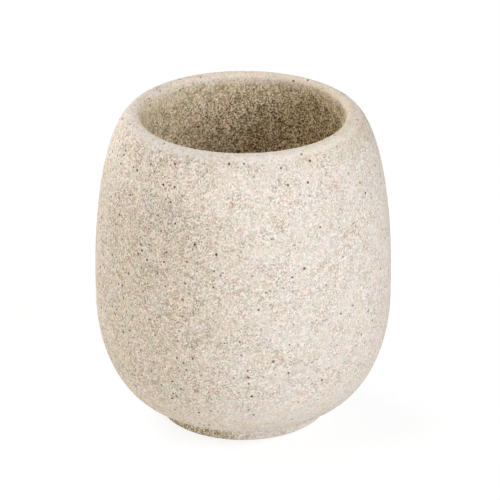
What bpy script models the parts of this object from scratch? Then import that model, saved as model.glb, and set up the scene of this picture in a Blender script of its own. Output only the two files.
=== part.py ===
"""A toothbrush tumbler of cast sandstone resin: a round body on a narrow foot, open at the top.

Under the foot a non-slip rubber pad is bonded into a shallow recess with a disc of adhesive film.
Run it with blender --background --python part.py, or from Blender's text editor.
Lengths are in metres and +Z is up. The origin is on the body's axis, at the surface that the pad stands on.
"""

import math

import bmesh
import bpy

MM = 0.001

# The body's outside: heights are measured from the foot's underside
BODY_HEIGHT = 100.0 * MM
BELLY_DIAMETER = 92.5 * MM
BELLY_HEIGHT = 42.8 * MM
BELLY_BAND_HEIGHT = 6.5 * MM
SHOULDER_INSET = 12.9 * MM
FOOT_DIAMETER = 53.6 * MM
FOOT_HEIGHT = 4.9 * MM
FOOT_NECK_ROUND = 0.8 * MM
FOOT_EDGE_ROUND = 1.2 * MM

# The lip's inner round and the cavity, which narrows a little downwards so that the mould's core came out
LIP_ROUND = 1.8 * MM
CAVITY_DRAFT = math.radians(1.0)
CAVITY_FLOOR_THICKNESS = 8.0 * MM
CAVITY_CORNER_ROUND = 8.0 * MM

# The pad under the foot, and the adhesive film that holds it in its recess
FOOT_RIM_WIDTH = 4.2 * MM
PAD_SIDE_CLEARANCE = 0.6 * MM
PAD_THICKNESS = 2.0 * MM
PAD_STANDS_PROUD = 0.8 * MM
PAD_EDGE_ROUND = 0.3 * MM
FILM_THICKNESS = 0.2 * MM
FILM_SET_BACK = 0.5 * MM
BOND_GAP = 0.3 * MM

# How finely the turned shapes are divided
TURN_STEPS = 64
SHOULDER_STEPS = 18
BOWL_STEPS = 14
LIP_STEPS = 5
CORNER_STEPS = 6
SMALL_ROUND_STEPS = 3
AXIS_MERGE = 0.01 * MM
SHARP_ANGLE = math.radians(35.0)

# Places on the body that follow from the sizes above
FOOT_UNDERSIDE = PAD_STANDS_PROUD
FOOT_TOP = FOOT_UNDERSIDE + FOOT_HEIGHT
BAND_BOTTOM = FOOT_UNDERSIDE + BELLY_HEIGHT - BELLY_BAND_HEIGHT / 2
BAND_TOP = BAND_BOTTOM + BELLY_BAND_HEIGHT
CROWN = FOOT_UNDERSIDE + BODY_HEIGHT
BELLY_RADIUS = BELLY_DIAMETER / 2
FOOT_RADIUS = FOOT_DIAMETER / 2
CROWN_RADIUS = BELLY_RADIUS - SHOULDER_INSET
MOUTH_RADIUS = CROWN_RADIUS - LIP_ROUND * math.cos(CAVITY_DRAFT)

# Places of the pad, the film and the recess, from the surface that the pad stands on
RECESS_RADIUS = FOOT_RADIUS - FOOT_RIM_WIDTH
PAD_DIAMETER = 2 * (RECESS_RADIUS - PAD_SIDE_CLEARANCE)
FILM_DIAMETER = PAD_DIAMETER - 2 * FILM_SET_BACK
FILM_BOTTOM = PAD_THICKNESS + BOND_GAP
RECESS_CEILING = FILM_BOTTOM + FILM_THICKNESS + BOND_GAP
CAVITY_FLOOR = RECESS_CEILING + CAVITY_FLOOR_THICKNESS

RESIN_COLOUR = (0.72, 0.63, 0.53, 1.0)
PAD_COLOUR = (0.045, 0.043, 0.042, 1.0)
FILM_COLOUR = (0.80, 0.78, 0.70, 1.0)
RESIN_ROUGHNESS = 0.75
PAD_ROUGHNESS = 0.85
FILM_ROUGHNESS = 0.4


def clear_scene():
    """Removes every object that the opened file holds."""
    for obj in list(bpy.data.objects):
        bpy.data.objects.remove(obj, do_unlink=True)


def make_collection(name):
    """Adds a collection under the scene."""
    collection = bpy.data.collections.new(name)
    bpy.context.scene.collection.children.link(collection)
    return collection


def make_material(name, colour, roughness):
    """A Principled material that isn't metallic."""
    material = bpy.data.materials.new(name)
    material.use_nodes = True
    material.diffuse_color = colour
    shader = material.node_tree.nodes["Principled BSDF"]
    shader.inputs["Base Color"].default_value = colour
    shader.inputs["Roughness"].default_value = roughness
    shader.inputs["Metallic"].default_value = 0.0
    return material


def arc(centre, half_width, half_height, start, end, steps):
    """Points of (radius, height) along an ellipse, from the start angle to the end angle, both included.

    The angles are in degrees: 0 points away from the axis and 90 points up.
    """
    points = []
    for step in range(steps + 1):
        angle = math.radians(start + (end - start) * step / steps)
        points.append((centre[0] + half_width * math.cos(angle), centre[1] + half_height * math.sin(angle)))
    return points


def inside_outline():
    """The cavity, from its floor's centre out to the corner, up the drafted wall and over the lip's round."""
    draft = math.degrees(CAVITY_DRAFT)
    lip_centre = (CROWN_RADIUS, CROWN - LIP_ROUND)
    wall_top = lip_centre[1] + LIP_ROUND * math.sin(CAVITY_DRAFT)
    floor_radius = MOUTH_RADIUS - (wall_top - CAVITY_FLOOR) * math.tan(CAVITY_DRAFT)
    corner_inset = CAVITY_CORNER_ROUND * math.tan(math.radians(45.0) - CAVITY_DRAFT / 2)
    corner_centre = (floor_radius - corner_inset, CAVITY_FLOOR + CAVITY_CORNER_ROUND)
    points = [(0.0, CAVITY_FLOOR)]
    points += arc(corner_centre, CAVITY_CORNER_ROUND, CAVITY_CORNER_ROUND, -90.0, -draft, CORNER_STEPS)
    points += arc(lip_centre, LIP_ROUND, LIP_ROUND, 180.0 - draft, 90.0, LIP_STEPS)
    return points


def outside_outline():
    """The side, from the crown over the shoulder to the belly's straight band and in under it to the foot."""
    bowl_width = BELLY_RADIUS - FOOT_RADIUS
    bowl_end = math.degrees(math.acos(FOOT_NECK_ROUND / bowl_width))
    shoulder = arc((CROWN_RADIUS, BAND_TOP), SHOULDER_INSET, CROWN - BAND_TOP, 90.0, 0.0, SHOULDER_STEPS)
    bowl = arc((FOOT_RADIUS, BAND_BOTTOM), bowl_width, BAND_BOTTOM - FOOT_TOP, 0.0, -bowl_end, BOWL_STEPS)
    return shoulder[1:] + bowl


def foot_outline(neck_top):
    """The foot, from the neck's top point round and down its wall, in underneath and up into the recess."""
    neck_centre = (neck_top[0], neck_top[1] - FOOT_NECK_ROUND)
    edge_centre = (FOOT_RADIUS - FOOT_EDGE_ROUND, FOOT_UNDERSIDE + FOOT_EDGE_ROUND)
    neck = arc(neck_centre, FOOT_NECK_ROUND, FOOT_NECK_ROUND, 90.0, 180.0, SMALL_ROUND_STEPS)
    edge = arc(edge_centre, FOOT_EDGE_ROUND, FOOT_EDGE_ROUND, 0.0, -90.0, SMALL_ROUND_STEPS)
    recess = [(RECESS_RADIUS, FOOT_UNDERSIDE), (RECESS_RADIUS, RECESS_CEILING), (0.0, RECESS_CEILING)]
    return neck[1:] + edge + recess


def shade(mesh):
    """Smooth faces that stay sharp where two of them meet at a steep angle."""
    mesh.shade_smooth()
    mesh.set_sharp_from_angle(angle=SHARP_ANGLE)


def turned_object(name, outline, collection, material):
    """A closed solid turned from an outline of (radius, height) points that starts and ends on the axis."""
    profile = bpy.data.meshes.new(name + "_profile")
    corners = [(radius, 0.0, height) for radius, height in outline]
    chain = [(index, index + 1) for index in range(len(corners) - 1)]
    profile.from_pydata(corners, chain, [])
    obj = bpy.data.objects.new(name, profile)
    collection.objects.link(obj)

    turning = obj.modifiers.new("turning", "SCREW")
    turning.axis = "Z"
    turning.angle = 2 * math.pi
    turning.steps = TURN_STEPS
    turning.render_steps = TURN_STEPS
    turning.use_merge_vertices = True
    turning.merge_threshold = AXIS_MERGE

    solid = bpy.data.meshes.new_from_object(obj.evaluated_get(bpy.context.evaluated_depsgraph_get()))
    obj.modifiers.clear()
    obj.data = solid
    bpy.data.meshes.remove(profile)
    solid.name = name
    solid.materials.append(material)
    shade(solid)
    return obj


def disc_object(name, diameter, thickness, bottom, collection, material):
    """A round disc on the axis, with its lower face at the height given."""
    mesh = bpy.data.meshes.new(name)
    shape = bmesh.new()
    radius = diameter / 2
    bmesh.ops.create_cone(
        shape, cap_ends=True, segments=TURN_STEPS, radius1=radius, radius2=radius, depth=thickness
    )
    shape.to_mesh(mesh)
    shape.free()
    mesh.materials.append(material)
    shade(mesh)
    obj = bpy.data.objects.new(name, mesh)
    obj.location = (0.0, 0.0, bottom + thickness / 2)
    collection.objects.link(obj)
    return obj


def round_rims(obj, radius):
    """Bevels both rims of a disc."""
    bevel = obj.modifiers.new("rim_round", "BEVEL")
    bevel.width = radius
    bevel.segments = SMALL_ROUND_STEPS
    bevel.limit_method = "ANGLE"
    bevel.angle_limit = SHARP_ANGLE


def build():
    """Makes the body, the pad under its foot and the adhesive film between them."""
    clear_scene()
    parts = make_collection("toothbrush_holder")
    resin = make_material("sandstone_resin", RESIN_COLOUR, RESIN_ROUGHNESS)
    rubber = make_material("foot_rubber", PAD_COLOUR, PAD_ROUGHNESS)
    film = make_material("adhesive_film", FILM_COLOUR, FILM_ROUGHNESS)

    outline = inside_outline() + outside_outline()
    outline += foot_outline(outline[-1])
    turned_object("cup_body", outline, parts, resin)
    pad = disc_object("non_slip_pad", PAD_DIAMETER, PAD_THICKNESS, 0.0, parts, rubber)
    round_rims(pad, PAD_EDGE_ROUND)
    disc_object("pad_adhesive_film", FILM_DIAMETER, FILM_THICKNESS, FILM_BOTTOM, parts, film)


build()
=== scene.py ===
"""The looks of a toothbrush tumbler cast in sandstone resin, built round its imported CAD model.

The stone body is turned afresh at a finer step than the CAD solid. It gets the soft unevenness of
a cast piece and a finish of sand grains held in resin. The rubber pad and the adhesive film under
the foot keep their CAD solids and get finishes of their own. Lengths are in metres and +Z is up.
"""

from __future__ import annotations

import logging
import math
from dataclasses import dataclass, field
from enum import Enum, IntEnum
from itertools import pairwise

import bpy
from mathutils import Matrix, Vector

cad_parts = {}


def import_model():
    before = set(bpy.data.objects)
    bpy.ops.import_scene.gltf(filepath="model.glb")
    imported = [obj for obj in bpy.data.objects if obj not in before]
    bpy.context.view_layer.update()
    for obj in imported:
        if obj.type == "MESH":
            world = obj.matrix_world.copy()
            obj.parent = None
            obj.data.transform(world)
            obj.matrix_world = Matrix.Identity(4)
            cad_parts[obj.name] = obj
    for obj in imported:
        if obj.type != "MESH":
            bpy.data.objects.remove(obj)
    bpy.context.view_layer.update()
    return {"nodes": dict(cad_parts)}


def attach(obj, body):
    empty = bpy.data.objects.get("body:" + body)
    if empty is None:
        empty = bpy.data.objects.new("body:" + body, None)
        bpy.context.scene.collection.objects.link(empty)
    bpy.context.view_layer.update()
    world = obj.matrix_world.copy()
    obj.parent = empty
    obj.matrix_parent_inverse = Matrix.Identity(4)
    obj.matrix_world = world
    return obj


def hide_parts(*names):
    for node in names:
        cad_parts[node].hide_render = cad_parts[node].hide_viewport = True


MM = 0.001
BODY = "root"
WHITE = (1.0, 1.0, 1.0)

# Directions in the tumbler's section, in degrees, and the fewest steps of an arc
OUTWARDS, UPWARDS, INWARDS, DOWNWARDS = 0.0, 90.0, 180.0, -90.0
FEWEST_STEPS = 2

Point = tuple[float, float]
Edge = tuple[float, float]
Angles = tuple[float, float, float]
Colour = tuple[float, float, float]
Stops = tuple[tuple[float, Colour], ...]
Socket = bpy.types.NodeSocket

log = logging.getLogger("tumbler")


class Blend(Enum):
    """How a colour is laid over the one beneath it."""

    COVER = "MIX"
    TINT = "MULTIPLY"


class MixPin(IntEnum):
    """Where a Mix node keeps its colour sockets, which share their names with others."""

    SHARE = 0
    BENEATH = 6
    OVER = 7
    RESULT = 2


def rgba(colour: Colour) -> tuple[float, float, float, float]:
    """Gives a colour the full alpha that node sockets want."""
    return (*colour, 1.0)


class NodeSheet:
    """The nodes of a material or of the world, with a short call for each kind in use."""

    PATTERN_MIDDLE = 0.5

    def __init__(self, owner: bpy.types.Material | bpy.types.World) -> None:
        """Starts with no nodes.

        Args:
            owner: The material or the world that the nodes belong to.
        """
        owner.use_nodes = True
        self.owner = owner
        self.nodes = owner.node_tree.nodes
        self.links = owner.node_tree.links
        self.nodes.clear()

    @classmethod
    def of_material(cls, name: str, preview: Colour) -> NodeSheet:
        """Starts an empty material.

        Args:
            name: The material's name.
            preview: The plain colour that stands for the material in a solid view.

        Returns:
            The material's nodes.
        """
        material = bpy.data.materials.new(name)
        material.diffuse_color = rgba(preview)
        return cls(material)

    def add(self, kind: str, **sockets: object) -> bpy.types.Node:
        """Adds a node and fills its inputs by name.

        Args:
            kind: The node's type name.
            sockets: Inputs by name, with underscores for spaces. Each is a plain value or
                another node's output.

        Returns:
            The new node.
        """
        node = self.nodes.new(kind)
        for label, value in sockets.items():
            self.feed(node.inputs[label.replace("_", " ")], value)
        return node

    def fill(self, node: bpy.types.Node, *values: object) -> None:
        """Fills a node's inputs in their order.

        Args:
            node: The node.
            values: What the inputs get, from the first on.
        """
        for socket, value in zip(node.inputs, values):
            self.feed(socket, value)

    def feed(self, socket: Socket, value: object) -> None:
        """Links an output to a socket, or sets the socket to a plain value.

        Args:
            socket: The input to fill.
            value: An output socket, a number or a tuple of numbers.
        """
        if isinstance(value, Socket):
            self.links.new(value, socket)
        else:
            socket.default_value = value

    def place(self, turn: Angles = (0.0, 0.0, 0.0)) -> Socket:
        """Gives the point's place on the piece, turned so that a pattern's own axes don't show.

        Args:
            turn: Angles about X, Y and Z, in degrees.

        Returns:
            The vector to read a pattern at.
        """
        place = self.add("ShaderNodeTexCoord").outputs["Object"]
        angles = tuple(math.radians(angle) for angle in turn)
        return self.add("ShaderNodeMapping", Vector=place, Rotation=angles).outputs["Vector"]

    def cloud(self, where: Socket, size: float, detail: float = 2.0, rough: float = 0.5) -> Socket:
        """Adds a soft random pattern.

        Args:
            where: The vector that it is read at.
            size: How wide a cloud is, in metres.
            detail: How many finer layers it has.
            rough: How strongly the finer layers show.

        Returns:
            The pattern's value, from 0 to 1.
        """
        noise = self.add(
            "ShaderNodeTexNoise", Vector=where, Scale=1 / size, Detail=detail, Roughness=rough
        )
        return noise.outputs["Fac"]

    def grains(self, where: Socket, size: float) -> bpy.types.Node:
        """Adds a packing of grains: Distance is in their sizes, Color is random for each."""
        return self.add("ShaderNodeTexVoronoi", Vector=where, Scale=1 / size)

    def lot(self, cells: bpy.types.Node) -> tuple[Socket, ...]:
        """Draws three random numbers for each grain of a packing."""
        return tuple(self.add("ShaderNodeSeparateColor", Color=cells.outputs["Color"]).outputs)

    def sum_of(self, operation: str, *numbers: object) -> Socket:
        """Does a sum.

        Args:
            operation: The Math node's operation.
            numbers: Numbers or outputs, in the node's order.

        Returns:
            The result.
        """
        node = self.nodes.new("ShaderNodeMath")
        node.operation = operation
        self.fill(node, *numbers)
        return node.outputs["Value"]

    def times(self, *factors: object) -> Socket:
        """Multiplies two numbers or more.

        Args:
            factors: Numbers or outputs.

        Returns:
            Their product.
        """
        product, *others = factors
        for factor in others:
            product = self.sum_of("MULTIPLY", product, factor)
        return product

    def shift(self, start: object, share: object, amount: object) -> Socket:
        """Adds a share of an amount, which may be negative, to the value at the start."""
        return self.sum_of("MULTIPLY_ADD", share, amount, start)

    def swing(self, pattern: Socket, width: object, middle: object) -> Socket:
        """Lets a value swing about a middle, as wide as told, with a pattern from 0 to 1."""
        return self.shift(middle, self.sum_of("SUBTRACT", pattern, self.PATTERN_MIDDLE), width)

    def fade(self, value: Socket, start: float, end: float) -> Socket:
        """Turns a value into a smooth share: 0 at start and 1 at end.

        Args:
            value: What is read.
            start: The value that gives 0.
            end: The value that gives 1, which may be the lower of the two.

        Returns:
            The share, held between 0 and 1.
        """
        node = self.nodes.new("ShaderNodeMapRange")
        node.interpolation_type = "SMOOTHSTEP"
        falling = end < start
        for label, number in (
            ("Value", value),
            ("From Min", min(start, end)),
            ("From Max", max(start, end)),
            ("To Min", float(falling)),
            ("To Max", float(not falling)),
        ):
            self.feed(node.inputs[label], number)
        return node.outputs["Result"]

    def ramp(self, value: Socket, stops: Stops) -> Socket:
        """Turns a value into a colour.

        Args:
            value: What is read, from 0 to 1.
            stops: Places along the value, each with its colour.

        Returns:
            The colour.
        """
        node = self.add("ShaderNodeValToRGB", Fac=value)
        band = node.color_ramp
        while len(band.elements) < len(stops):
            band.elements.new(1.0)
        for element, (position, colour) in zip(band.elements, stops):
            element.position = position
            element.color = rgba(colour)
        return node.outputs["Color"]

    def between(self, pattern: Socket, edge: Edge, first: Colour, last: Colour) -> Socket:
        """Runs from one colour to another while a pattern crosses an edge."""
        start, end = edge
        return self.ramp(pattern, ((start, first), (end, last)))

    def lay(
        self, share: object, beneath: object, over: object, blend: Blend = Blend.COVER
    ) -> Socket:
        """Lays one colour over another.

        Args:
            share: How much of the upper colour shows, from 0 to 1.
            beneath: The lower colour.
            over: The upper colour.
            blend: How the two meet.

        Returns:
            The colour of both.
        """
        node = self.nodes.new("ShaderNodeMix")
        node.data_type = "RGBA"
        node.blend_type = blend.value
        self.feed(node.inputs[MixPin.SHARE], share)
        self.feed(node.inputs[MixPin.BENEATH], beneath)
        self.feed(node.inputs[MixPin.OVER], over)
        return node.outputs[MixPin.RESULT]

    def relief(self, height: Socket, depth: float) -> Socket:
        """Tilts the shading as if a height of 1 stood up by the depth, in metres."""
        bump = self.add("ShaderNodeBump", Height=height, Distance=depth, Strength=1.0)
        return bump.outputs["Normal"]

    def seen_by_eye(self) -> Socket:
        """Tells a ray that shows a surface from a ray that lights something.

        Returns:
            1 for a ray that shows a surface, straight or in a gloss, and 0 for any other.
        """
        ray = self.add("ShaderNodeLightPath")
        kinds = ("Is Camera Ray", "Is Glossy Ray", "Is Transmission Ray")
        straight, glossy, through = (ray.outputs[kind] for kind in kinds)
        return self.sum_of("MAXIMUM", straight, self.sum_of("MAXIMUM", glossy, through))

    def shade(self, **sockets: object) -> bpy.types.Material:
        """Closes the sheet with the surface's shader.

        Args:
            sockets: The shader's inputs by name, with underscores for spaces.

        Returns:
            The finished material.
        """
        shader = self.add("ShaderNodeBsdfPrincipled", **sockets)
        self.add("ShaderNodeOutputMaterial", Surface=shader.outputs["BSDF"])
        return self.owner


@dataclass(frozen=True)
class Strewn:
    """One kind of coloured grain that lies scattered in the stone.

    A grain is full out to its core and ends at its rim, both in shares of the spacing. The share
    tells how many of the places hold a grain.
    """

    colour: Colour
    spacing: float
    share: float
    core: float
    rim: float
    strength: float


@dataclass(frozen=True)
class GrainShades:
    """The colours of the sand from its darkest grains to its lightest."""

    brown: Colour
    tan: Colour
    cream: Colour
    pale: Colour
    quartz: Colour
    darker: tuple[float, ...] = (0.0, 0.14, 0.42, 0.68, 1.0)

    def stops(self) -> Stops:
        """Lists the shades, each with the share of the grains that are darker."""
        return tuple(zip(self.darker, (self.brown, self.tan, self.cream, self.pale, self.quartz)))


@dataclass(frozen=True)
class Spot:
    """Where a point of the stone lies, as outputs that the patterns read.

    `where` is the place that the random patterns are read at, turned off the piece's axes.
    `across` and `height` are the point's own X and Z. `inside` is 1 within the cavity's radius.
    `coarse` is the share of the side with the coarse sand, which also carries painted shade and
    light. `far` is the share of the other side.
    """

    where: Socket
    across: Socket
    height: Socket
    inside: Socket
    coarse: Socket
    far: Socket


@dataclass(frozen=True)
class SandstoneFinish:
    """Pale sand held in resin: cream and tan grains, dark specks and a few rusty ones.

    The cavity and a part of the foot are left as they come from the mould: rougher, and yellower
    with resin. Their sand is also darker and yellower in part as painted shade, in the cavity and
    in the shadow under the bowl on the foot's coarse side. The outside is worn smoother in patches,
    on the lip and above the foot. On one side the sand is coarser and tanner, the tan partly
    painted shade, below a shoulder lightened as painted light. On the far side the lip and the raw
    stone are tanner, and the raw stone is darkened as a painted shadow. The lip is warmer where it
    turns in over the cavity.
    """

    # The sand and how its grains lie
    smooth_sand: GrainShades = GrainShades(
        brown=(0.400, 0.345, 0.285),
        tan=(0.530, 0.473, 0.418),
        cream=(0.639, 0.580, 0.530),
        pale=(0.711, 0.658, 0.613),
        quartz=(0.847, 0.803, 0.778),
    )
    # The raw stone's sand, darker and yellower than the outside's, partly as painted shade
    raw_sand_and_painted_shade: GrainShades = GrainShades(
        brown=(0.140, 0.091, 0.036),
        tan=(0.270, 0.200, 0.112),
        cream=(0.505, 0.408, 0.264),
        pale=(0.715, 0.611, 0.445),
        quartz=(1.000, 0.915, 0.755),
    )
    grain_size: float = 0.40 * MM
    cluster_size: float = 2.2 * MM
    cluster_detail: float = 1.0
    clustering: float = 0.45
    pattern_turn: Angles = (38.0, 52.0, 11.0)

    # Soft drifts of colour
    green_tint: Colour = (0.960, 0.980, 0.935)
    pink_tint: Colour = (1.025, 0.975, 0.970)
    cool_tint: Colour = (0.995, 1.000, 1.010)
    warm_tint: Colour = (0.990, 0.965, 0.905)
    tint_edge: Edge = (0.35, 0.65)
    patch_size: float = 4.0 * MM
    drift_size: float = 5.0 * MM

    # Grains strewn in the sand
    white_grain: Strewn = Strewn(
        (0.98, 0.95, 0.91), spacing=0.80 * MM, share=0.08, core=0.18, rim=0.42, strength=0.70
    )
    speck: Strewn = Strewn(
        (0.18, 0.115, 0.050), spacing=0.62 * MM, share=0.13, core=0.20, rim=0.42, strength=0.80
    )
    dark_speck: Strewn = Strewn(
        (0.060, 0.036, 0.012), spacing=1.4 * MM, share=0.07, core=0.22, rim=0.36, strength=1.00
    )
    rust_stain: Strewn = Strewn(
        (0.74, 0.46, 0.33), spacing=4.6 * MM, share=0.50, core=0.04, rim=0.30, strength=0.45
    )
    rust_core: Strewn = Strewn(
        (0.38, 0.16, 0.09), spacing=1.9 * MM, share=0.13, core=0.08, rim=0.21, strength=0.80
    )
    rusty_grain: Colour = (0.42, 0.22, 0.13)
    rusty_share: float = 0.35
    depth_edge: Edge = (-0.4, 1.0)

    # Where the outside is worn smooth
    polish_size: float = 6.0 * MM
    polish_edge: Edge = (0.40, 0.62)
    patch_polish: float = 0.35
    lip_polish: float = 0.60
    lip_whiteness: float = 0.24
    lip_edge: Edge = (98.6 * MM, 99.8 * MM)
    hem_polish: float = 0.45
    hem_edge: Edge = (26.0 * MM, 17.0 * MM)
    polished_lean: float = 0.75

    # Where the lip turns in over the cavity
    throat_depth: float = 2.0 * MM
    throat_tint: Colour = (1.045, 1.010, 0.960)
    throat_edge: Edge = (60.0 * MM, 95.0 * MM)

    # The side with the coarse sand and painted shade, and the side away from it
    coarse_and_shaded_side: Edge = (16.0 * MM, -34.0 * MM)
    coarse_top: Edge = (95.0 * MM, 72.0 * MM)
    # Tans the coarse side below its shoulder; the tan is partly painted shade
    coarse_tan_and_painted_shade: Colour = (0.985, 0.950, 0.885)
    coarse_spread: float = 0.35
    coarse_lift: float = 0.0575
    coarse_specks: float = 1.5
    # Painted light: the coarse side's shoulder is lightened
    painted_light_shoulder_tint: Colour = (1.115, 1.105, 1.080)
    painted_light_shoulder_edge: Edge = (80.0 * MM, 91.0 * MM)
    far_side: Edge = (8.0 * MM, 32.0 * MM)
    tan_edge: Edge = (92.0 * MM, 99.0 * MM)
    tan_tint: Colour = (0.998, 0.975, 0.920)

    # Where the stone is left raw, with its partly painted shade
    cavity_radius: float = 33.2 * MM
    cavity_edge: Edge = (99.2 * MM, 95.6 * MM)
    cavity_tilt: float = 0.045
    cavity_bottom: float = 9.5 * MM
    foot_edge: Edge = (6.1 * MM, 5.2 * MM)
    # The foot's raw stone lies on its coarse side, where it also stands for painted shadow under
    # the bowl
    foot_raw_and_shade_side: Edge = (8.0 * MM, -18.0 * MM)
    foot_share: float = 0.05
    foot_coarse_raw_and_shade: float = 0.95

    # How the raw stone looks, darker in part as painted shade
    mottle_size: float = 3.2 * MM
    mottle: float = 0.8
    raw_middle: float = 0.48
    raw_spread: float = 1.45
    raw_calm: float = 0.40
    raw_paleness: float = 0.14
    calm_edge: Edge = (88.0 * MM, 98.0 * MM)
    coarse_calm: float = 0.70
    coarse_paleness: float = 0.10
    paler_edge: Edge = (5.0 * MM, 90.0 * MM)
    # A painted shadow: the raw stone on the far side is darkened
    far_painted_shadow: float = 0.08

    # The skin
    relief_size: float = 0.5 * MM
    relief_rough: float = 0.6
    relief_depth: float = 0.12 * MM
    grain_dome: float = 0.5
    raw_relief: float = 1.8
    roughness: float = 0.80
    gloss: float = 0.25

    def material(self) -> bpy.types.Material:
        """Makes the sandstone's material.

        Returns:
            The material.
        """
        sheet = NodeSheet.of_material("sandstone_resin", self.smooth_sand.cream)
        spot = self.locate(sheet)
        sand = sheet.grains(spot.where, self.grain_size)
        draw, rust_draw, _ = sheet.lot(sand)
        clusters = sheet.cloud(spot.where, self.cluster_size, self.cluster_detail)
        lean = sheet.swing(clusters, self.clustering, draw)
        # Raw stone, whose darker, yellower sand is partly painted shade
        raw = self.raw_and_painted_shade_share(sheet, spot)
        worn_sand = self.worn_sand(sheet, spot, lean)
        colour = sheet.lay(raw, worn_sand, self.mould_sand_and_painted_shade(sheet, spot, lean))
        colour = self.tan(sheet, spot, raw, colour)
        colour = self.drift(sheet, spot, colour)
        colour = self.rust(sheet, spot, rust_draw, colour)
        for strewn in (self.white_grain, self.speck, self.rust_core, self.dark_speck):
            colour = sheet.lay(self.cover(sheet, spot, strewn), colour, rgba(strewn.colour))
        return sheet.shade(
            Base_Color=colour,
            Roughness=self.roughness,
            Specular_IOR_Level=self.gloss,
            Normal=self.relief(sheet, spot, sand, raw),
        )

    def locate(self, sheet: NodeSheet) -> Spot:
        """Reads where a point of the stone lies.

        Args:
            sheet: The material's nodes.

        Returns:
            The point's place, as the patterns read it.
        """
        across, along, height = sheet.add("ShaderNodeSeparateXYZ", Vector=sheet.place()).outputs
        squares = [sheet.sum_of("POWER", distance, 2.0) for distance in (across, along)]
        radius = sheet.sum_of("SQRT", sheet.sum_of("ADD", *squares))
        return Spot(
            where=sheet.place(self.pattern_turn),
            across=across,
            height=height,
            inside=sheet.sum_of("LESS_THAN", radius, self.cavity_radius),
            coarse=sheet.fade(across, *self.coarse_and_shaded_side),
            far=sheet.fade(across, *self.far_side),
        )

    def raw_and_painted_shade_share(self, sheet: NodeSheet, spot: Spot) -> Socket:
        """Tells where the stone is raw, with its partly painted shade: in the cavity, and on the
        foot.

        The cavity's raw stone reaches higher at both sides. The foot's is on its coarse side, where
        it also stands for the painted shadow under the bowl.

        Args:
            sheet: The material's nodes.
            spot: The point's place.

        Returns:
            The share, from 0 on the worn outside to 1.
        """
        above_floor = sheet.sum_of("GREATER_THAN", spot.height, self.cavity_bottom)
        aside = sheet.sum_of("ABSOLUTE", spot.across)
        tilted = sheet.shift(spot.height, aside, -self.cavity_tilt)
        below_lip = sheet.fade(tilted, *self.cavity_edge)
        # The foot's coarse side, where raw stone also stands for painted shadow
        side = sheet.fade(spot.across, *self.foot_raw_and_shade_side)
        foot_unworn_and_shaded = sheet.shift(self.foot_share, side, self.foot_coarse_raw_and_shade)
        cavity = sheet.times(spot.inside, above_floor, below_lip)
        foot = sheet.times(sheet.fade(spot.height, *self.foot_edge), foot_unworn_and_shaded)
        return sheet.sum_of("MAXIMUM", cavity, foot)

    def worn_sand(self, sheet: NodeSheet, spot: Spot, lean: Socket) -> Socket:
        """Colours the outside's grains: drawn together where it is worn, spread where coarse.

        Args:
            sheet: The material's nodes.
            spot: The point's place.
            lean: Where a grain stands between the darkest and the lightest.

        Returns:
            The grains' colour.
        """
        lip = sheet.fade(spot.height, *self.lip_edge)
        white = sheet.fade(sheet.shift(spot.height, spot.inside, self.throat_depth), *self.lip_edge)
        coarseness = sheet.shift(1.0, spot.coarse, self.coarse_spread)
        spread = sheet.sum_of("SUBTRACT", coarseness, self.polish(sheet, spot, lip))
        middle = sheet.shift(self.polished_lean, spot.coarse, self.coarse_lift)
        whiter = sheet.shift(middle, white, self.lip_whiteness)
        offset = sheet.sum_of("SUBTRACT", lean, self.polished_lean)
        colour = sheet.ramp(sheet.shift(whiter, offset, spread), self.smooth_sand.stops())
        return self.tint_places(sheet, spot, lip, colour)

    def polish(self, sheet: NodeSheet, spot: Spot, lip: Socket) -> Socket:
        """Tells how smooth the outside is worn: in patches, on the lip and above the foot.

        Args:
            sheet: The material's nodes.
            spot: The point's place.
            lip: The share of the lip.

        Returns:
            How far the grains' shades are drawn together, from 0 to 1.
        """
        hem = sheet.fade(spot.height, *self.hem_edge)
        patches = sheet.fade(sheet.cloud(spot.where, self.polish_size), *self.polish_edge)
        worn = sheet.times(patches, self.patch_polish)
        for place, strength in ((lip, self.lip_polish), (hem, self.hem_polish)):
            worn = sheet.sum_of("MAXIMUM", worn, sheet.times(place, strength))
        return worn

    def tint_places(self, sheet: NodeSheet, spot: Spot, lip: Socket, colour: Socket) -> Socket:
        """Warms the lip's turn, tans the coarse side partly as painted shade, paints light on its
        shoulder.

        Args:
            sheet: The material's nodes.
            spot: The point's place.
            lip: The share of the lip.
            colour: The grains' colour.

        Returns:
            The tinted colour.
        """
        off_lip = sheet.sum_of("SUBTRACT", 1.0, lip)
        top = sheet.fade(spot.height, *self.painted_light_shoulder_edge)
        throat = sheet.times(spot.inside, sheet.fade(spot.height, *self.throat_edge))
        side = sheet.times(spot.coarse, sheet.fade(spot.height, *self.coarse_top))
        shoulder = sheet.times(spot.coarse, top, off_lip)
        # The coarse side's tint is partly painted shade, and the shoulder's is painted light
        for place, tint in (
            (throat, self.throat_tint),
            (side, self.coarse_tan_and_painted_shade),
            (shoulder, self.painted_light_shoulder_tint),
        ):
            colour = sheet.lay(place, colour, rgba(tint), Blend.TINT)
        return colour

    def mould_sand_and_painted_shade(self, sheet: NodeSheet, spot: Spot, lean: Socket) -> Socket:
        """Colours the raw stone's grains, darker and yellower in part as painted shade.

        They are mottled, calmer and paler towards the lip and on the coarse side, and darkened on
        the far side as a painted shadow.

        Args:
            sheet: The material's nodes.
            spot: The point's place.
            lean: Where a grain stands between the darkest and the lightest.

        Returns:
            The grains' colour.
        """
        calm = sheet.fade(spot.height, *self.calm_edge)
        upper = sheet.times(spot.coarse, sheet.fade(spot.height, *self.paler_edge))
        lifted = sheet.shift(self.raw_middle, upper, self.coarse_paleness)
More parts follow.
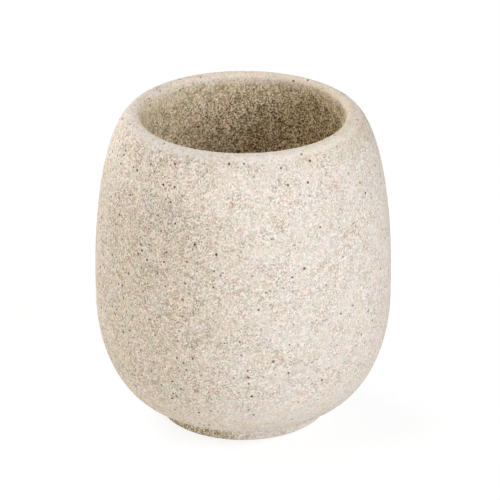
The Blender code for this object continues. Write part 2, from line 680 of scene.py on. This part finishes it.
        # A painted shadow darkens the raw stone on the far side
        lowered = sheet.shift(lifted, spot.far, -self.far_painted_shadow)
        middle = sheet.shift(lowered, calm, self.raw_paleness)
        mottled = sheet.swing(sheet.cloud(spot.where, self.mottle_size), self.mottle, middle)
        lively = sheet.shift(self.raw_spread, spot.coarse, -self.coarse_calm)
        spread = sheet.times(lively, sheet.shift(1.0, calm, -self.raw_calm))
        return sheet.ramp(sheet.swing(lean, spread, mottled), self.raw_sand_and_painted_shade.stops())

    def tan(self, sheet: NodeSheet, spot: Spot, raw: Socket, colour: Socket) -> Socket:
        """Tans the lip and the raw stone on the far side.

        Args:
            sheet: The material's nodes.
            spot: The point's place.
            raw: The share of the raw stone.
            colour: The grains' colour.

        Returns:
            The tanned colour.
        """
        place = sheet.sum_of("MAXIMUM", raw, sheet.fade(spot.height, *self.tan_edge))
        share = sheet.times(place, spot.far)
        return sheet.lay(share, colour, rgba(self.tan_tint), Blend.TINT)

    def drift(self, sheet: NodeSheet, spot: Spot, colour: Socket) -> Socket:
        """Lets the stone's colour drift between green and pink, and between cool and warm.

        Args:
            sheet: The material's nodes.
            spot: The point's place.
            colour: The grains' colour.

        Returns:
            The tinted colour.
        """
        for size, first, last in (
            (self.patch_size, self.green_tint, self.pink_tint),
            (self.drift_size, self.cool_tint, self.warm_tint),
        ):
            tint = sheet.between(sheet.cloud(spot.where, size), self.tint_edge, first, last)
            colour = sheet.lay(1.0, colour, tint, Blend.TINT)
        return colour

    def rust(self, sheet: NodeSheet, spot: Spot, draw: Socket, colour: Socket) -> Socket:
        """Stains the stone with rust, and makes some grains in a stain rusty.

        Args:
            sheet: The material's nodes.
            spot: The point's place.
            draw: A random number for each grain.
            colour: The grains' colour.

        Returns:
            The stained colour.
        """
        stain = self.cover(sheet, spot, self.rust_stain)
        stained = sheet.lay(stain, colour, rgba(self.rust_stain.colour), Blend.TINT)
        rusty = sheet.times(stain, sheet.sum_of("LESS_THAN", draw, self.rusty_share))
        return sheet.lay(rusty, stained, rgba(self.rusty_grain))

    def cover(self, sheet: NodeSheet, spot: Spot, strewn: Strewn) -> Socket:
        """Tells where one kind of strewn grain lies, which is more often on the coarse side.

        Args:
            sheet: The material's nodes.
            spot: The point's place.
            strewn: The kind of grain.

        Returns:
            How far the grain hides the stone, from 0 to its strength.
        """
        cells = sheet.grains(spot.where, strewn.spacing)
        draw, depth, _ = sheet.lot(cells)
        share = sheet.shift(strewn.share, spot.coarse, strewn.share * self.coarse_specks)
        chosen = sheet.sum_of("LESS_THAN", draw, share)
        body = sheet.fade(cells.outputs["Distance"], strewn.rim, strewn.core)
        weight = sheet.times(sheet.fade(depth, *self.depth_edge), strewn.strength)
        return sheet.times(chosen, body, weight)

    def relief(self, sheet: NodeSheet, spot: Spot, sand: bpy.types.Node, raw: Socket) -> Socket:
        """Domes each grain and lets the skin rise and fall between them, most on the raw stone.

        Args:
            sheet: The material's nodes.
            spot: The point's place.
            sand: The packing of grains.
            raw: The share of the raw stone.

        Returns:
            The normal.
        """
        skin = sheet.cloud(spot.where, self.relief_size, rough=self.relief_rough)
        dome = sheet.sum_of("SUBTRACT", 1.0, sand.outputs["Distance"])
        height = sheet.shift(skin, dome, self.grain_dome)
        strength = sheet.shift(1.0, raw, self.raw_relief - 1.0)
        return sheet.relief(sheet.times(height, strength), self.relief_depth)


@dataclass(frozen=True)
class RubberFinish:
    """Black non-slip rubber with a fine moulded grain and a little dust in it."""

    black: Colour = (0.035, 0.034, 0.033)
    dusty: Colour = (0.085, 0.082, 0.078)
    dust_size: float = 5.0 * MM
    dust_detail: float = 5.0
    dust_rough: float = 0.65
    dust_edge: Edge = (0.45, 0.75)
    grain_size: float = 0.5 * MM
    grain_depth: float = 0.06 * MM
    pattern_turn: Angles = (20.0, 0.0, 35.0)
    roughness: float = 0.65
    dust_roughness: float = 0.25
    gloss: float = 0.4

    def material(self) -> bpy.types.Material:
        """Makes the rubber's material.

        Returns:
            The material.
        """
        sheet = NodeSheet.of_material("foot_rubber", self.black)
        where = sheet.place(self.pattern_turn)
        dust = sheet.cloud(where, self.dust_size, self.dust_detail, self.dust_rough)
        pebbles = sheet.grains(where, self.grain_size)
        return sheet.shade(
            Base_Color=sheet.between(dust, self.dust_edge, self.black, self.dusty),
            Roughness=sheet.shift(self.roughness, dust, self.dust_roughness),
            Specular_IOR_Level=self.gloss,
            Normal=sheet.relief(pebbles.outputs["Distance"], self.grain_depth),
        )


@dataclass(frozen=True)
class FilmFinish:
    """Double-sided adhesive film, slightly cloudy where the glue lies thicker."""

    clear: Colour = (0.74, 0.72, 0.63)
    cloudy: Colour = (0.84, 0.82, 0.75)
    cloud_size: float = 3.0 * MM
    cloud_detail: float = 4.0
    cloud_edge: Edge = (0.35, 0.65)
    ripple_depth: float = 0.02 * MM
    roughness: float = 0.35

    def material(self) -> bpy.types.Material:
        """Makes the film's material.

        Returns:
            The material.
        """
        sheet = NodeSheet.of_material("adhesive_film", self.cloudy)
        glue = sheet.cloud(sheet.place(), self.cloud_size, self.cloud_detail)
        return sheet.shade(
            Base_Color=sheet.between(glue, self.cloud_edge, self.clear, self.cloudy),
            Roughness=self.roughness,
            Normal=sheet.relief(glue, self.ripple_depth),
        )


def arc(
    centre: Point, half_width: float, half_height: float, start: float, end: float, pitch: float
) -> list[Point]:
    """Steps along an ellipse, both ends included.

    Args:
        centre: The ellipse's middle, as radius and height.
        half_width: Half its width.
        half_height: Half its height.
        start: The first angle in degrees, with 0 away from the axis and 90 up.
        end: The last angle.
        pitch: The longest step.

    Returns:
        Points of radius and height.
    """
    longest = max(half_width, half_height) * math.radians(abs(end - start))
    steps = max(FEWEST_STEPS, math.ceil(longest / pitch))
    angles = [math.radians(start + (end - start) * step / steps) for step in range(steps + 1)]
    radius, height = centre
    return [(radius + half_width * math.cos(a), height + half_height * math.sin(a)) for a in angles]


def bend(centre: Point, radius: float, start: float, end: float, pitch: float) -> list[Point]:
    """Steps along a round bend, which is an arc of equal width and height."""
    return arc(centre, radius, radius, start, end, pitch)


def line(start: Point, end: Point, pitch: float) -> list[Point]:
    """Steps along a straight stretch, without its two ends.

    Args:
        start: The point that it leaves, as radius and height.
        end: The point that it reaches.
        pitch: The longest step.

    Returns:
        Points of radius and height.
    """
    steps = math.ceil(math.dist(start, end) / pitch)
    (radius, height), (end_radius, end_height) = start, end
    return [
        (
            radius + (end_radius - radius) * step / steps,
            height + (end_height - height) * step / steps,
        )
        for step in range(1, steps)
    ]


@dataclass(frozen=True)
class TumblerOutline:
    """Half the tumbler's section, as one chain of points of radius and height.

    It runs from the middle of the cavity's floor over the lip and down to under the foot.
    """

    foot_underside: float = 0.8 * MM
    height: float = 100.0 * MM
    belly_radius: float = 46.25 * MM
    belly_height: float = 42.8 * MM
    belly_band: float = 6.5 * MM
    shoulder_inset: float = 12.9 * MM
    foot_radius: float = 26.8 * MM
    foot_height: float = 4.9 * MM
    neck_round: float = 0.8 * MM
    foot_edge_round: float = 1.2 * MM
    lip_round: float = 1.8 * MM
    draft: float = 1.0
    cavity_floor: float = 10.8 * MM
    cavity_corner: float = 8.0 * MM
    recess_radius: float = 22.6 * MM
    recess_ceiling: float = 2.8 * MM

    # The longest step between two points
    outside_pitch: float = 0.8 * MM
    inside_pitch: float = 1.5 * MM
    ceiling_pitch: float = 3.0 * MM
    small_pitch: float = 0.25 * MM

    @property
    def crown(self) -> float:
        """How high the lip's top is."""
        return self.foot_underside + self.height

    @property
    def crown_radius(self) -> float:
        """How far the lip's top is from the axis."""
        return self.belly_radius - self.shoulder_inset

    def inside(self) -> list[Point]:
        """Runs from the middle of the cavity's floor out to its corner and up to the lip's top.

        Returns:
            Points of radius and height.
        """
        slope = math.radians(self.draft)
        lip = (self.crown_radius, self.crown - self.lip_round)
        wall_top = (
            lip[0] - self.lip_round * math.cos(slope),
            lip[1] + self.lip_round * math.sin(slope),
        )
        floor_radius = wall_top[0] - (wall_top[1] - self.cavity_floor) * math.tan(slope)
        inset = self.cavity_corner * math.tan((math.radians(UPWARDS) - slope) / 2)
        corner_middle = (floor_radius - inset, self.cavity_floor + self.cavity_corner)
        middle = (0.0, self.cavity_floor)
        pitch = self.inside_pitch
        corner = bend(corner_middle, self.cavity_corner, DOWNWARDS, -self.draft, pitch)
        rim = bend(lip, self.lip_round, INWARDS - self.draft, UPWARDS, self.small_pitch)
        floor = [middle, *line(middle, corner[0], pitch)]
        return [*floor, *corner, *line(corner[-1], rim[0], pitch), *rim]

    def outside(self) -> list[Point]:
        """Runs from the lip's top over the shoulder and the belly down to the foot's neck.

        Returns:
            Points of radius and height, without the lip's top.
        """
        band_bottom = self.foot_underside + self.belly_height - self.belly_band / 2
        band_top = band_bottom + self.belly_band
        shoulder_middle = (self.crown_radius, band_top)
        shoulder_height = self.crown - band_top
        bowl_middle = (self.foot_radius, band_bottom)
        bowl_width = self.belly_radius - self.foot_radius
        bowl_height = band_bottom - self.foot_underside - self.foot_height
        bowl_end = -math.degrees(math.acos(self.neck_round / bowl_width))
        pitch = self.outside_pitch
        inset = self.shoulder_inset
        shoulder = arc(shoulder_middle, inset, shoulder_height, UPWARDS, OUTWARDS, pitch)
        bowl = arc(bowl_middle, bowl_width, bowl_height, OUTWARDS, bowl_end, pitch)
        return [*shoulder[1:], *line(shoulder[-1], bowl[0], pitch), *bowl]

    def foot(self, neck_top: Point) -> list[Point]:
        """Runs round the neck, down the foot, in under it and up into the recess for the pad.

        Args:
            neck_top: The point where the bowl ends.

        Returns:
            Points of radius and height, which end on the axis.
        """
        neck_middle = (neck_top[0], neck_top[1] - self.neck_round)
        edge_middle = (
            self.foot_radius - self.foot_edge_round,
            self.foot_underside + self.foot_edge_round,
        )
        recess_foot = (self.recess_radius, self.foot_underside)
        recess_top = (self.recess_radius, self.recess_ceiling)
        middle = (0.0, self.recess_ceiling)
        pitch = self.outside_pitch
        neck = bend(neck_middle, self.neck_round, UPWARDS, INWARDS, self.small_pitch)
        edge = bend(edge_middle, self.foot_edge_round, OUTWARDS, DOWNWARDS, self.small_pitch)
        side = line(neck[-1], edge[0], pitch)
        ring = [*line(edge[-1], recess_foot, pitch), recess_foot]
        recess = [*line(recess_foot, recess_top, pitch), recess_top]
        ceiling = [*line(recess_top, middle, self.ceiling_pitch), middle]
        return [*neck[1:], *side, *edge, *ring, *recess, *ceiling]

    def points(self) -> list[Point]:
        """Lists the whole outline."""
        upper = [*self.inside(), *self.outside()]
        return [*upper, *self.foot(upper[-1])]


def start_piece() -> None:
    """Leaves nothing selected, so that an operator acts on the new piece alone."""
    bpy.ops.object.select_all(action="DESELECT")


@dataclass
class StoneBody:
    """The cast tumbler: turned from its outline, then left as uneven as it leaves the mould."""

    outline: TumblerOutline = field(default_factory=TumblerOutline)
    finish: SandstoneFinish = field(default_factory=SandstoneFinish)
    turn_steps: int = 224
    seed_size: float = 1.0 * MM
    merge_gap: float = 0.01 * MM
    crease: float = 35.0
    wave_size: float = 16.0 * MM
    wave_depth: float = 0.07 * MM
    dimple_size: float = 4.0 * MM
    dimple_depth: float = 0.03 * MM
    skin_layers: int = 2

    def build(self) -> bpy.types.Object:
        """Turns the body and roughens it.

        Returns:
            The stone piece, with its place in its mesh.
        """
        start_piece()
        self.draw_outline()
        body = bpy.context.object
        body.name = "sandstone_body"
        self.turn(body)
        self.roughen(body, "casting_waves", self.wave_size, self.wave_depth)
        self.roughen(body, "sand_dimples", self.dimple_size, self.dimple_depth)
        bpy.ops.object.shade_smooth_by_angle(angle=math.radians(self.crease))
        return body

    def draw_outline(self) -> None:
        """Draws the outline as a chain of points, which starts as a small plane drawn together."""
        first, *rest = self.outline.points()
        seed = (first[0], 0.0, first[1])
        bpy.ops.mesh.primitive_plane_add(size=self.seed_size, location=seed)
        bpy.ops.object.transform_apply(location=True, rotation=True, scale=True)
        bpy.ops.object.mode_set(mode="EDIT")
        bpy.ops.mesh.select_all(action="SELECT")
        bpy.ops.mesh.merge(type="CENTER")
        for here, there in pairwise([first, *rest]):
            step = (there[0] - here[0], 0.0, there[1] - here[1])
            bpy.ops.mesh.extrude_vertices_move(TRANSFORM_OT_translate={"value": step})
        bpy.ops.object.mode_set(mode="OBJECT")

    def turn(self, body: bpy.types.Object) -> None:
        """Turns the outline about the axis, closes seam and poles, and points the faces outwards.

        A modifier does the turning, because it lists the faces in the same order on each run,
        which the spin operator doesn't.

        Args:
            body: The stone piece, as its outline alone.
        """
        lathe = body.modifiers.new("lathe", "SCREW")
        lathe.axis = "Z"
        lathe.angle = math.tau
        lathe.steps = lathe.render_steps = self.turn_steps
        bpy.ops.object.modifier_apply(modifier=lathe.name)
        bpy.ops.object.mode_set(mode="EDIT")
        bpy.ops.mesh.select_all(action="SELECT")
        bpy.ops.mesh.remove_doubles(threshold=self.merge_gap)
        bpy.ops.mesh.normals_make_consistent(inside=False)
        bpy.ops.object.mode_set(mode="OBJECT")

    def roughen(self, body: bpy.types.Object, name: str, size: float, depth: float) -> None:
        """Lowers the skin by a soft random depth.

        The skin is never raised, so the body keeps its outer size.

        Args:
            body: The stone piece.
            name: What the unevenness is called.
            size: How wide its waves are, in metres.
            depth: How deep its deepest place may be, in metres.
        """
        pattern = bpy.data.textures.new(name, type="CLOUDS")
        pattern.noise_scale = size
        pattern.noise_depth = self.skin_layers
        press = body.modifiers.new(name, "DISPLACE")
        press.texture = pattern
        press.texture_coords = "LOCAL"
        press.mid_level = 1.0
        press.strength = depth
        bpy.ops.object.modifier_apply(modifier=name)

    def dress(self, body: bpy.types.Object) -> None:
        """Gives the body its stone and its place in the model.

        Args:
            body: The stone piece.
        """
        body.data.materials.clear()
        body.data.materials.append(self.finish.material())
        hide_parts("cup_body")
        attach(body, BODY)


@dataclass
class FootPad:
    """The rubber pad under the foot and the film that holds it, which keep their CAD solids."""

    rubber: RubberFinish = field(default_factory=RubberFinish)
    film: FilmFinish = field(default_factory=FilmFinish)

    def dress(self, nodes: dict[str, bpy.types.Object]) -> list[bpy.types.Object]:
        """Gives the pad and the film their finishes.

        Args:
            nodes: The CAD model's pieces by name.

        Returns:
            The two pieces.
        """
        finishes = {"non_slip_pad": self.rubber, "pad_adhesive_film": self.film}
        for name, finish in finishes.items():
            material = finish.material()
            for place in nodes[name].material_slots:
                place.material = material
        return [nodes[name] for name in finishes]


@dataclass(frozen=True)
class Softbox:
    """A round soft lamp that looks at the middle of the tumbler.

    Its bearing is 0 on the camera's side and 90 on the right. Angles are in degrees.
    """

    name: str
    bearing: float
    elevation: float
    watts: float
    tint: Colour = WHITE
    width: float = 0.45
    reach: float = 1.1

    def hang(self, target: Vector) -> None:
        """Hangs the lamp.

        Args:
            target: The point that it looks at.
        """
        bearing, elevation = math.radians(self.bearing), math.radians(self.elevation)
        level = math.cos(elevation)
        towards = Vector(
            (math.sin(bearing) * level, -math.cos(bearing) * level, math.sin(elevation))
        )
        place = target + towards * self.reach
        turn = (-towards).to_track_quat("-Z", "Y").to_euler()
        start_piece()
        bpy.ops.object.light_add(type="AREA", location=place, rotation=turn)
        lamp = bpy.context.object
        lamp.name = self.name
        lamp.visible_camera = False
        lamp.data.shape = "DISK"
        lamp.data.size = self.width
        lamp.data.energy = self.watts
        lamp.data.color = self.tint
        log.info("%s: %.2f W", self.name, self.watts)


@dataclass
class Studio:
    """A white floor and surround, the softboxes, and the camera at the photograph's angle.

    The floor is floor_white where it throws light on the tumbler. The camera sees it glow by
    floor_glow and give back floor_keep of the light on it, which leaves a faint shadow.
    """

    target: Vector = field(default_factory=lambda: Vector((0.0, 0.0, 50.0 * MM)))
    floor_size: float = 6.0
    floor_gap: float = 0.02 * MM
    floor_white: float = 0.95
    floor_glow: float = 0.86
    floor_keep: float = 0.2
    camera_tilt: float = 24.57
    camera_reach: float = 1.0
    camera_aim: float = 54.09 * MM
    camera_aside: float = 2.125 * MM
    lens: float = 230.73
    sensor: float = 36.0
    clip_start: float = 0.05

    # Name, bearing, elevation, watts and tint of each lamp
    softboxes: tuple[Softbox, ...] = (
        Softbox("right_high", 60.0, 30.0, 6.05, (1.00, 1.0, 1.02)),
        Softbox("rim_right", 110.0, 25.0, 0.40, (1.04, 1.0, 0.92)),
        Softbox("front_low", 0.0, 8.0, 2.80, (0.96, 1.0, 1.05)),
        Softbox("key_right", 30.0, 8.0, 2.60, (0.93, 1.0, 1.08)),
        Softbox("left_high", 300.0, 55.0, 2.75, (1.08, 1.0, 0.90)),
        Softbox("left_top", 300.0, 72.0, 1.10, (1.12, 1.0, 0.80)),
        Softbox("left_middle", 300.0, 30.0, 0.50, (1.25, 1.0, 0.65)),
        Softbox("left_low", 300.0, 8.0, 0.75),
        Softbox("rim_left", 240.0, 8.0, 4.80, (0.93, 1.0, 1.08)),
        Softbox("back_left", 210.0, 30.0, 4.90),
    )

    def build(self) -> None:
        """Sets up the floor, the surround, the lamps and the camera."""
        self.lay_floor()
        self.surround()
        for softbox in self.softboxes:
            softbox.hang(self.target)
        self.place_camera()
        bpy.context.scene.view_settings.view_transform = "Standard"

    def lay_floor(self) -> None:
        """Lays a matt floor that looks white to the camera and still keeps the shadow."""
        start_piece()
        below = (0.0, 0.0, -self.floor_gap)
        bpy.ops.mesh.primitive_plane_add(size=self.floor_size, location=below)
        floor = bpy.context.object
        floor.name = "floor"
        sheet = NodeSheet.of_material("floor_white", WHITE)
        lit = sheet.add("ShaderNodeBsdfDiffuse", Color=rgba((self.floor_white,) * 3))
        faint = sheet.add("ShaderNodeBsdfDiffuse", Color=rgba((self.floor_keep,) * 3))
        glow = sheet.add("ShaderNodeEmission", Color=rgba(WHITE), Strength=self.floor_glow)
        seen = sheet.nodes.new("ShaderNodeAddShader")
        sheet.fill(seen, faint.outputs["BSDF"], glow.outputs["Emission"])
        both = sheet.nodes.new("ShaderNodeMixShader")
        sheet.fill(both, sheet.seen_by_eye(), lit.outputs["BSDF"], seen.outputs["Shader"])
        sheet.add("ShaderNodeOutputMaterial", Surface=both.outputs["Shader"])
        floor.data.materials.append(sheet.owner)

    def surround(self) -> None:
        """Makes the world white to the camera and dark to everything that it would light."""
        world = bpy.data.worlds.new("surround")
        bpy.context.scene.world = world
        sheet = NodeSheet(world)
        seen = sheet.seen_by_eye()
        background = sheet.add("ShaderNodeBackground", Color=rgba(WHITE), Strength=seen)
        sheet.add("ShaderNodeOutputWorld", Surface=background.outputs["Background"])

    def place_camera(self) -> None:
        """Puts the camera where the photograph was taken from."""
        tilt = math.radians(self.camera_tilt)
        back = self.camera_reach * math.cos(tilt)
        up = self.camera_aim + self.camera_reach * math.sin(tilt)
        place = (self.camera_aside, -back, up)
        turn = (math.pi / 2 - tilt, 0.0, 0.0)
        start_piece()
        bpy.ops.object.camera_add(location=place, rotation=turn)
        camera = bpy.context.object
        camera.name = "camera"
        camera.data.sensor_width = self.sensor
        camera.data.lens = self.lens
        camera.data.clip_start = self.clip_start
        bpy.context.scene.camera = camera


def report(piece: bpy.types.Object) -> None:
    """Logs a finished piece's name, its number of faces and its material."""
    material = piece.material_slots[0].material
    log.info("%s: %d faces, %s", piece.name, len(piece.data.polygons), material.name)


def main() -> None:
    """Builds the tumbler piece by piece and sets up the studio."""
    logging.basicConfig(level=logging.INFO, format="%(name)s: %(message)s")
    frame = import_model()
    stone = StoneBody()
    body = stone.build()
    stone.dress(body)
    report(body)
    for piece in FootPad().dress(frame["nodes"]):
        report(piece)
    Studio().build()


if __name__ == "__main__":
    main()
